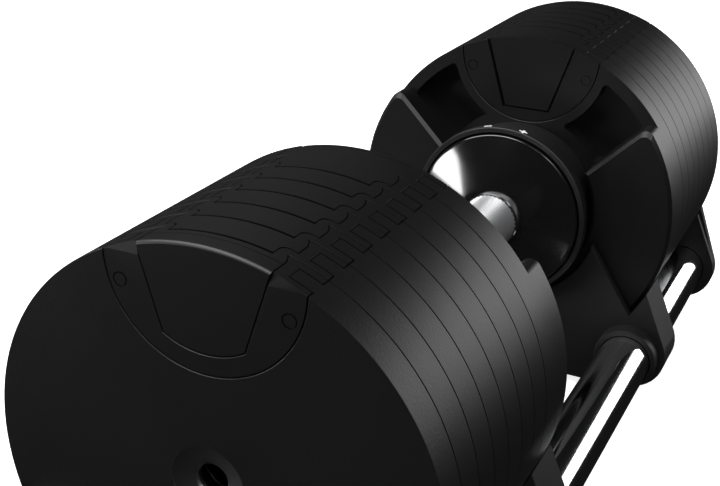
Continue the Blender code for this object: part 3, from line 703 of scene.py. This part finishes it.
def innerHead():
    edge = plateSizes["seamEdge"]
    disc = loft("innerHead", edged(headFace, headBack, rim, plateSizes["edge"]))
    step = loft("step", [
        (headFront, lowerStep(-headSizes["shoulderEdge"])),
        (headFront + headSizes["shoulderEdge"], lowerStep(0.0)),
        (headFace + 2 * mm, lowerStep(0.0)),
    ])
    opening = loft("opening", steppedHole(0.0, -edge, plateThick + edge, 2 * edge))
    opening.transform(Matrix.Translation((headFace, 0, 0)))
    pocket = headPocket()
    other = pocket.copy()
    other.transform(Matrix.Diagonal((1, -1, 1, 1)))
    other.flip_normals()

    def shaftHole(grow):
        return circle(headSizes["bore"] + grow, plateSizes["fineCount"])

    bore = loft("bore", flared(headFront, headBack, shaftHole, headSizes["boreEdge"]))
    lockLow, lockHigh = low("lock_slider_right"), high("lock_slider_right")
    play = headSizes["lockPlay"]
    channel = prism(
        "channel", lockLow.x - play, lockHigh.x + play,
        block(lockLow.y - play, lockHigh.y + play, -rimRadius - mm, -headSizes["hubRecess"] + 4 * mm),
    )
    return softened(carved(
        disc, ("UNION", step), ("DIFFERENCE", opening), ("DIFFERENCE", pocket), ("DIFFERENCE", other),
        ("DIFFERENCE", bore), ("DIFFERENCE", channel),
    ))


def headCover():
    # Fills the head's own slot, a little under the face
    def inset(grow):
        narrow = slotSizes["undercut"] + plateSizes["seam"]
        return slotOutline(narrow - grow, headSizes["coverFloor"], 1)

    start, end = headSizes["coverDepth"] * 0.25, headSizes["coverDepth"] - slotSizes["coverGap"]
    cover = loft("headCover", edged(start, end, inset, plateSizes["seamEdge"]))
    return softened(carved(cover, ("INTERSECT", prism("rimSolid", -mm, pitch, rim(0.0)))))


steels = {outermost: steelDisc(outermost) for outermost in (False, True)}
inserts = {kind: insertMoulding(kind) for kind in ("plain", "second", "outermost", "head")}
coverMesh, headCoverMesh, headMesh = endCover(), headCover(), innerHead()
for side in sides:
    for number in range(1, plateCount + 1):
        x = firstPlate + (number - 1) * pitch
        fromEnd = plateCount - number
        kind = ("outermost", "second")[fromEnd] if fromEnd < 2 else "plain"
        body = f"plate_{number}_{side}"
        place(
            f"plateSteel{number}_{side}", steels[fromEnd == 0], "powderCoat", body,
            x, side, [f"plate_{number}_steel_{side}"],
        )
        place(
            f"plateInsert{number}_{side}", inserts[kind], "insert", body,
            x, side, [f"plate_{number}_insert_{side}"],
        )
    place(
        f"endCover_{side}", coverMesh, "insert", f"plate_{plateCount}_{side}",
        firstPlate + (plateCount - 1) * pitch, side, [f"end_cover_{side}"],
    )
    place(
        f"innerHead_{side}", headMesh, "powderCoat", "handle_frame",
        0.0, side, [f"inner_head_{side}"],
    )
    place(
        f"headInsert_{side}", inserts["head"], "insert", "handle_frame",
        headFace, side, [f"head_insert_{side}"],
    )
    place(
        f"headCover_{side}", headCoverMesh, "insert", "handle_frame",
        headFace, side, [f"head_cover_{side}"],
    )
print("plates and heads done")


# The handle: knurled grip, flared bells, and the housings behind them

handleSizes = {
    "gripRadius": 14.0 * mm, "gripBore": 12.0 * mm, "gripShoulder": 13.2 * mm,
    "knurlPitch": 2.3 * mm,  # a real one is nearer 1.5 mm, cut coarser so that it shows
    "knurlDepth": 0.5 * mm,
    "gripEdge": 0.5 * mm,
    "bellRadius": 42.7 * mm, "bellNeck": 14.6 * mm, "bellPower": 0.86, "bellLip": 1.3 * mm,
    "bellBore": 12.1 * mm, "neckEdge": 0.5 * mm, "backEdge": 0.4 * mm,
    "bellStand": 1.2 * mm,  # its lip stands this far in front of the ring
    "ringInner": 43.5 * mm, "ringRadius": 46.3 * mm, "ringFront": 68.5 * mm, "ringBack": 73.8 * mm,
    "drumRadius": 40.5 * mm, "drumWall": 3.5 * mm, "sleeveRadius": 24.5 * mm,
    "housingEdge": 0.35 * mm, "housingGap": 0.3 * mm, "bellGap": 0.8 * mm,
    "markSize": 4.2 * mm, "markBar": 1.1 * mm, "markOffset": 9.6 * mm,
    "markRise": 0.12 * mm, "markRoot": 0.2 * mm, "markStep": 0.4 * mm,
    "count": 160,
}


def knurledGrip():
    # Diamonds as real pyramids: high points and groove crossings take turns on a grid round the tube
    sizes = handleSizes
    end = high("grip").x
    knurlEnd = end - sizes["gripEdge"]
    around = 2 * round(2 * pi * sizes["gripRadius"] / sizes["knurlPitch"])
    along = 2 * round(knurlEnd / sizes["knurlPitch"])
    shape = bmesh.new()
    rows = []
    for j in range(2 * along + 1):
        row = []
        for i in range(around):
            radius = sizes["gripRadius"] - (sizes["knurlDepth"] if (i + j) % 2 else 0.0)
            turn = 2 * pi * i / around
            row.append(shape.verts.new(((j / along - 1) * knurlEnd, radius * cos(turn), radius * sin(turn))))
        rows.append(row)
    for j in range(2 * along):
        for i in range(around):
            a, b = rows[j][i], rows[j][(i + 1) % around]
            c, d = rows[j + 1][(i + 1) % around], rows[j + 1][i]
            pairs = ((a, b, d), (b, c, d)) if (i + j) % 2 == 0 else ((a, b, c), (a, c, d))
            for corners in pairs:
                shape.faces.new(corners)
    ends = []
    for sign, row in ((-1, rows[0]), (1, rows[-1])):
        previous = row
        for radius in (sizes["gripShoulder"], sizes["gripBore"]):
            ring = []
            for i in range(around):
                turn = 2 * pi * i / around
                ring.append(shape.verts.new((sign * end, radius * cos(turn), radius * sin(turn))))
            for i in range(around):
                k = (i + 1) % around
                shape.faces.new((previous[i], previous[k], ring[k], ring[i]))
            previous = ring
        ends.append(previous)
    for i in range(around):
        k = (i + 1) % around
        shape.faces.new((ends[0][i], ends[0][k], ends[1][k], ends[1][i]))
    return closeMesh(shape, "knurledGrip")


def flaredBell():
    # A short neck on the grip, a flare that opens slightly hollow, and a rounded lip
    sizes = handleSizes
    start, back = low("bell_right").x, high("bell_right").x
    neck, lip = sizes["bellNeck"], sizes["bellLip"]
    depth = sizes["ringFront"] - sizes["bellStand"] - start
    rise = sizes["bellRadius"] - lip * 0.6 - neck
    steps = [i / 24 for i in range(1, 25)]
    flare = [(start + depth * t, neck + rise * t ** sizes["bellPower"]) for t in steps]
    middle = (start + depth + lip * 0.75, sizes["bellRadius"] - lip)
    turns = [radians(a) for a in (50, 35, 20, 5, -10)]
    rounded = [(middle[0] - lip * sin(a), middle[1] + lip * cos(a)) for a in turns]
    edge = sizes["neckEdge"]
    front = [(start, sizes["bellBore"]), (start, neck - edge), (start + 0.8 * edge, neck)]
    behind = [(back, sizes["bellRadius"] - sizes["backEdge"]), (back, sizes["bellBore"])]
    return softened(lathe("flaredBell", [*front, *flare, *rounded, *behind], sizes["count"]), 32)


def hubHousing():
    # The ring with the marks, the drum behind it and the sleeve round the shaft's bush, in one
    sizes = handleSizes
    edge = sizes["housingEdge"]
    back = headFace - sizes["housingGap"]
    floorX = high("bell_right").x + sizes["bellGap"]
    webBack = floorX + sizes["drumWall"]
    drum, drumInner = sizes["drumRadius"], sizes["drumRadius"] - sizes["drumWall"]
    profile = [
        (sizes["ringFront"] + edge, sizes["ringInner"]), (sizes["ringFront"], sizes["ringInner"] + edge),
        (sizes["ringFront"], sizes["ringRadius"] - edge), (sizes["ringFront"] + edge, sizes["ringRadius"]),
        (sizes["ringBack"] - edge, sizes["ringRadius"]), (sizes["ringBack"], sizes["ringRadius"] - edge),
        (sizes["ringBack"], drum + edge), (sizes["ringBack"] + edge, drum),
        (back, drum), (back, drumInner), (webBack, drumInner), (webBack, sizes["sleeveRadius"]),
        (back, sizes["sleeveRadius"]), (back, headSizes["bore"]), (floorX, headSizes["bore"]),
        (floorX, sizes["ringInner"]),
    ]
    return softened(lathe("hubHousing", profile, sizes["count"]))


def curvedBar(name, halfAcross, start, end, centre):
    # A thin bar on the ring's outside: halfAcross is half its width round it, start and end are along X
    radius = handleSizes["ringRadius"]
    outer, inner = radius + handleSizes["markRise"], radius - handleSizes["markRoot"]
    count = max(2, ceil(halfAcross / handleSizes["markStep"]))
    turns = [centre / radius + halfAcross / radius * (2 * i / count - 1) for i in range(count + 1)]
    outline = [(outer * sin(a), outer * cos(a)) for a in turns]
    outline += [(inner * sin(a), inner * cos(a)) for a in reversed(turns)]
    return prism(name, start, end, outline)


def ringMarks():
    # A minus and a plus on top of each ring, printed a little proud
    sizes = handleSizes
    middle = (sizes["ringFront"] + sizes["ringBack"]) / 2
    size, bar, offset = sizes["markSize"] / 2, sizes["markBar"] / 2, sizes["markOffset"]
    minus = curvedBar("minusMark", size, middle - bar, middle + bar, offset)
    upright = curvedBar("plusMark", bar, middle - size * 0.95, middle + size * 0.95, -offset)
    across = curvedBar("plusMark", size, middle - bar, middle + bar, -offset)
    return {"minusMark": minus, "plusMark": carved(upright, ("UNION", across))}


gripMesh, bellMesh, housingMesh, marks = knurledGrip(), flaredBell(), hubHousing(), ringMarks()
place("knurledGrip", gripMesh, "knurl", "turning_handle", replaces=["grip"])
for side in sides:
    place(
        f"flaredBell_{side}", bellMesh, "lacquer", "turning_handle",
        0.0, side, [f"bell_{side}"],
    )
    place(
        f"hubHousing_{side}", housingMesh, "nylon", "handle_frame",
        0.0, side, [f"hub_housing_{side}"],
    )
    for name, mesh in marks.items():
        place(f"{name}_{side}", mesh, "ink", "handle_frame", 0.0, side)
print("handle done")


# The cradle: two saddles on two tubes, with rubber strips under them

cradleSizes = {
    "tubeRadius": 13.5 * mm, "tubeEnd": 213.0 * mm, "tubeEdge": 0.6 * mm,
    "collarRadius": 16.4 * mm, "collarFront": 71.0 * mm, "cornerRadius": 19.4 * mm,
    "innerWall": 80.0 * mm, "wall": 5.0 * mm, "sideEnd": 104.0 * mm,
    "endWall": 211.3 * mm, "endBlock": 4.3 * mm,
    "trayBottom": 90.5 * mm, "trayFlange": 4.5 * mm, "trayHalf": 70.0 * mm,
    "seat": 86.3 * mm, "sideGap": 0.3 * mm,
    "edge": 0.9 * mm, "bite": 0.05 * mm,
    "play": 0.3 * mm,
    "footRibs": 9, "footGroove": 1.0 * mm, "footEdge": 0.5 * mm,
}
wallShapes = {
    # notch is the radius of the wall's scoop and top its height below the axis; then its shoulder's place
    "inner": {"notch": 50.0 * mm, "top": 48.3 * mm, "shoulder": (78.0 * mm, -56.5 * mm)},
    "outer": {"notch": 64.0 * mm, "top": 59.0 * mm, "shoulder": (80.0 * mm, -29.0 * mm)},
}


def wallOutline(notch, top, shoulder):
    start = -degrees(atan2(sqrt(notch**2 - top**2), top))
    half = arc(notch, -90, start, 24) + [shoulder]
    half += arc(cradleSizes["cornerRadius"], 20, -60, 10, tubeY, tubeZ)
    half += [(tubeY, -cradleSizes["trayBottom"])]
    return half + mirrored(half[1:])


def insetOutline(outline, amount):
    # The outline moved inwards, mitred at its corners
    area = sum(a[0] * b[1] - b[0] * a[1] for a, b in zip(outline, outline[1:] + outline[:1]))
    turn = 1 if area > 0 else -1
    sharpestMitre = 0.35
    moved = []
    for i, (y, z) in enumerate(outline):
        before, after = Vector(outline[i - 1]), Vector(outline[(i + 1) % len(outline)])
        first = (Vector((y, z)) - before).normalized()
        second = (after - Vector((y, z))).normalized()
        normal = Vector((-(first.y + second.y), first.x + second.x)) * turn
        reach = amount / max(sharpestMitre, normal.length / 2)
        normal.normalize()
        moved.append((y + normal.x * reach, z + normal.y * reach))
    return moved


def cradleWall(start, end, outline):
    def outlineAt(grow):
        return insetOutline(outline, -grow)

    return loft("wall", edged(start, end, outlineAt, cradleSizes["edge"]))


def tubeCollar(y):
    # Stands out round the tube, in front of the inner wall
    def collarAt(grow):
        return circle(cradleSizes["collarRadius"] + grow, 64, y, tubeZ)

    end = cradleSizes["innerWall"] + 2 * mm
    return loft("collar", edged(cradleSizes["collarFront"], end, collarAt, cradleSizes["edge"]))


def saddleMoulding():
    # A tray under the plates, a wall at each end, sides and collars round the tubes, and the lock's post
    sizes = cradleSizes
    wallStart, endWall, wall = sizes["innerWall"], sizes["endWall"], sizes["wall"]
    bottom, seat, bite = sizes["trayBottom"], sizes["seat"], sizes["bite"]
    flangeTop = sizes["trayFlange"] - bottom
    corner = [(sizes["trayHalf"], -bottom), (sizes["trayHalf"], flangeTop), (seat * 0.6, flangeTop)]
    tray = corner + arc(seat, -55, -125, 40) + mirrored(corner)
    side = arc(seat + sizes["sideGap"], -23, -52, 18)
    side += [(seat * 0.55, -bottom), (tubeY, -bottom)]
    side += arc(sizes["cornerRadius"], -60, 20, 10, tubeY, tubeZ)
    steps = []
    for outline in (side, mirrored(side)):
        steps.append(("UNION", prism("side", wallStart, sizes["sideEnd"], outline)))
    for outline in (side, mirrored(side)):
        steps.append(("UNION", prism("end", endWall - sizes["endBlock"], endWall + mm, outline)))
    innerWall, outerWall = (wallOutline(**wallShapes[name]) for name in ("inner", "outer"))
    steps.append(("UNION", cradleWall(wallStart - bite, wallStart + wall, innerWall)))
    steps.append(("UNION", cradleWall(endWall, endWall + wall + bite, outerWall)))
    for y in (tubeY, -tubeY):
        steps.append(("UNION", tubeCollar(y)))
    lockLow, lockHigh = low("lock_slider_right"), high("lock_slider_right")
    play = sizes["play"]
    post = block(lockLow.y + play, lockHigh.y - play, mm - bottom, lockLow.z - axisHeight - play)
    steps.append(("UNION", prism("post", lockLow.x + play, lockHigh.x - play, post)))
    for y in (tubeY, -tubeY):
        hole = circle(sizes["tubeRadius"] + play, 64, y, tubeZ)
        steps.append(("DIFFERENCE", prism("hole", sizes["collarFront"] - mm, sizes["tubeEnd"] + play, hole)))
    return softened(carved(prism("saddleMoulding", wallStart, endWall + wall, tray), *steps))


def chromeTube():
    sizes = cradleSizes

    def tubeAt(grow):
        return circle(sizes["tubeRadius"] + grow, 96)

    return softened(loft("chromeTube", edged(-sizes["tubeEnd"], sizes["tubeEnd"], tubeAt, sizes["tubeEdge"])))


def rubberStrip(node):
    # A strip with grooves across its underside
    lowest, highest = low(node), high(node)
    start, end = sorted((abs(lowest.x), abs(highest.x)))
    width = (highest.y - lowest.y) / 2
    rise, foot = highest.z - axisHeight, -axisHeight

    def stripAt(grow):
        return block(-width - grow, width + grow, foot, rise + grow)

    strip = loft("rubberStrip", edged(start, end, stripAt, cradleSizes["footEdge"]))
    step = (end - start) / cradleSizes["footRibs"]
    groove = block(-width * 1.2, width * 1.2, foot - mm, foot + cradleSizes["footGroove"])
    steps = []
    for i in range(1, cradleSizes["footRibs"]):
        x = start + i * step
        steps.append(("DIFFERENCE", prism("groove", x - mm, x + mm, groove)))
    return softened(carved(strip, *steps))


saddleMesh = saddleMoulding()
for side in sides:
    place(
        f"saddleMoulding_{side}", saddleMesh, "nylon", "cradle",
        0.0, side, [f"saddle_{side}"],
    )
    for end in ("front", "back"):
        node = f"foot_{end}_{side}"
        strip = place(
            f"rubberStrip_{end}_{side}", rubberStrip(node), "rubber", "cradle",
            0.0, side, [node],
        )
        strip.location.y = (low(node).y + high(node).y) / 2
tubeMesh = chromeTube()
for name, y in (("front", -tubeY), ("back", tubeY)):
    tube = place(
        f"chromeTube_{name}", tubeMesh, "chrome", "cradle", replaces=[f"cradle_tube_{name}"]
    )
    tube.location.y = y
    tube.location.z = axisHeight + tubeZ
print("cradle done")


# Inner pieces: the shafts are redrawn, the rest keep the frame's shape and get their finish

shaftSizes = {"radius": 9.6 * mm, "edge": 0.8 * mm, "flatEnd": 123.5, "count": 72}  # flatEnd in degrees


def selectorShaft():
    # Round, with a flat along its top
    def shaftAt(grow):
        start = shaftSizes["flatEnd"]
        return arc(shaftSizes["radius"] + grow, start, 540 - start, shaftSizes["count"])

    start, end = low("selector_shaft_right").x, high("selector_shaft_right").x
    return softened(loft("selectorShaft", edged(start, end, shaftAt, shaftSizes["edge"])))


shaftMesh = selectorShaft()
for side in sides:
    place(
        f"selectorShaft_{side}", shaftMesh, "ground", f"selector_{side}",
        0.0, side, [f"selector_shaft_{side}"],
    )

innerFinishes = {
    "cam_tube": "turned", "follower_pin": "ground", "shaft_bushing": "bronze",
    "detent_ball": "ground", "detent_spring": "ground", "lock_slider": "nylon",
}
for name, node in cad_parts.items():
    for start, finish in innerFinishes.items():
        if name.startswith(start):
            node.data.materials.clear()
            node.data.materials.append(finishes[finish])
print("inner pieces done")


# Stage: floor, lights and camera

stageSizes = {
    "floor": 12.0, "floorColour": "#f4f4f4", "floorGlow": 0.95,  # lit from below like a light table
    "fibre": 4 * mm, "smoothest": 0.75, "roughest": 0.85,
    "camera": (-0.4915, -0.1882, 0.2317 + axisHeight), "lens": 60.2,
    "yaw": 25.54, "pitch": -23.15, "roll": 1.50,
    "dimRoom": 0.008,
}
lights = {
    "overhead": {"spot": (-0.5, 0.9, 2.2), "target": (0, 0, 0), "size": (3.2, 2.0), "watts": 95},
    "rightStrip": {"spot": (1.95, -1.16, 0.47), "target": (0, 0, 0.1), "size": (1.3, 0.9), "watts": 11.5},
    "leftFront": {"spot": (-1.1, 2.1, 0.25), "target": (-0.1, 0, 0.1), "size": (1.0, 0.7), "watts": 32},
    "rightFront": {"spot": (-1.25, -1.5, 2.0), "target": (0, 0, 0.1), "size": (1.3, 1.3), "watts": 24},
}


def seamlessPaper():
    # Matt white paper off a roll. The eye sees plain white, with no edge or shadow
    material, tree, shader = newMaterial("seamlessPaper")
    spot = addNode(tree, "ShaderNodeTexCoord").outputs["Object"]
    fibre = addNode(tree, "ShaderNodeTexNoise", {"Scale": 1 / stageSizes["fibre"]}, {"Vector": spot})
    matt = addNode(
        tree, "ShaderNodeMapRange", {"To Min": stageSizes["smoothest"], "To Max": stageSizes["roughest"]},
        {"Value": fibre.outputs["Fac"]},
    )
    shader.inputs["Base Color"].default_value = hexToLinear(stageSizes["floorColour"])
    shader.inputs["Emission Color"].default_value = hexToLinear(stageSizes["floorColour"])
    shader.inputs["Emission Strength"].default_value = stageSizes["floorGlow"]
    tree.links.new(matt.outputs["Result"], shader.inputs["Roughness"])
    return material


def paleFloor():
    half = stageSizes["floor"] / 2
    mesh = bpy.data.meshes.new("paleFloor")
    corners = [(-half, -half, 0), (half, -half, 0), (half, half, 0), (-half, half, 0)]
    mesh.from_pydata(corners, [], [(0, 1, 2, 3)])
    mesh.materials.append(seamlessPaper())
    sheet = bpy.data.objects.new("paleFloor", mesh)
    sheet.visible_glossy = False  # dark gloss faces mirror the dim room, not the white paper
    bpy.context.scene.collection.objects.link(sheet)


def softLight(name, spot, target, size, watts):
    data = bpy.data.lights.new(name, "AREA")
    data.shape = "RECTANGLE"
    data.size, data.size_y = size
    data.energy = watts
    light = bpy.data.objects.new(name, data)
    light.location = spot
    light.rotation_euler = (Vector(target) - Vector(spot)).to_track_quat("-Z", "Y").to_euler()
    bpy.context.scene.collection.objects.link(light)


def setCamera():
    yaw, tilt, roll = (radians(stageSizes[name]) for name in ("yaw", "pitch", "roll"))
    forward = Vector((cos(tilt) * cos(yaw), cos(tilt) * sin(yaw), sin(tilt)))
    level = forward.cross(Vector((0, 0, 1))).normalized()
    upright = level.cross(forward)
    across = cos(roll) * level + sin(roll) * upright
    up = -sin(roll) * level + cos(roll) * upright
    data = bpy.data.cameras.new("camera")
    data.lens = stageSizes["lens"]
    data.clip_start = 0.01
    camera = bpy.data.objects.new("camera", data)
    turn = Matrix((across, up, -forward)).transposed().to_4x4()
    camera.matrix_world = Matrix.Translation(stageSizes["camera"]) @ turn
    bpy.context.scene.collection.objects.link(camera)
    bpy.context.scene.camera = camera


paleFloor()
for name, values in lights.items():
    softLight(name, **values)
setCamera()
world = bpy.data.worlds.new("studio")
bpy.context.scene.world = world
world.use_nodes = True
background = world.node_tree.nodes["Background"]
background.inputs["Color"].default_value = hexToLinear("#ffffff")
background.inputs["Strength"].default_value = stageSizes["dimRoom"]
bpy.context.scene.view_settings.view_transform = "Standard"
print("stage done")
